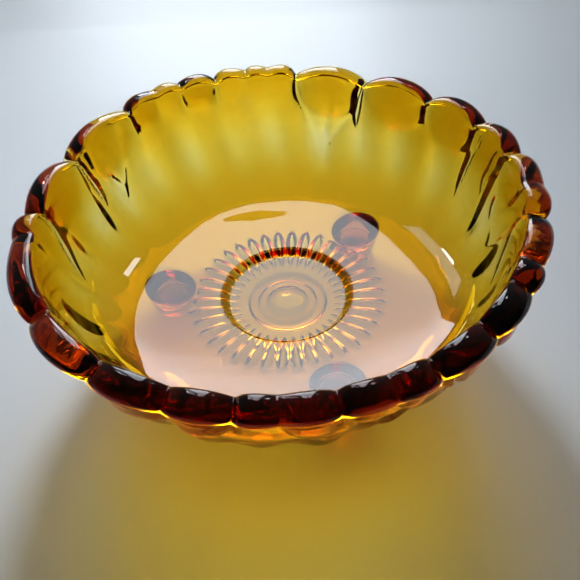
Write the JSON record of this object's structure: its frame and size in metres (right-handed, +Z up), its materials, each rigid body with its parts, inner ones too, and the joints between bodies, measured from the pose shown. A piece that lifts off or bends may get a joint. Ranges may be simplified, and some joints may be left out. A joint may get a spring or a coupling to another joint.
{
  "type": "pressed glass candy dish",
  "caption": "Round amber glass dish with a scalloped thick rim, petalled sloping wall, dished daisy-pressed base and nub feet.",
  "frame": {"origin": "on the table, under the centre of the base", "axes": "+Z up, +X to the dish's right, -Y to its front"},
  "size_m": [0.1634, 0.1636, 0.057],
  "materials": {
    "amber_glass": "clear honey-amber pressed glass, fire-polished",
    "amber_glass_thick": "the same amber glass where it is thick, so it looks dark brown"
  },
  "bodies": {
    "root": {"rim_band": "amber_glass_thick", "petal_wall": "amber_glass", "base_disc": "amber_glass", "foot_rear": "amber_glass", "foot_left": "amber_glass", "foot_front": "amber_glass"}
  },
  "joints": []
}
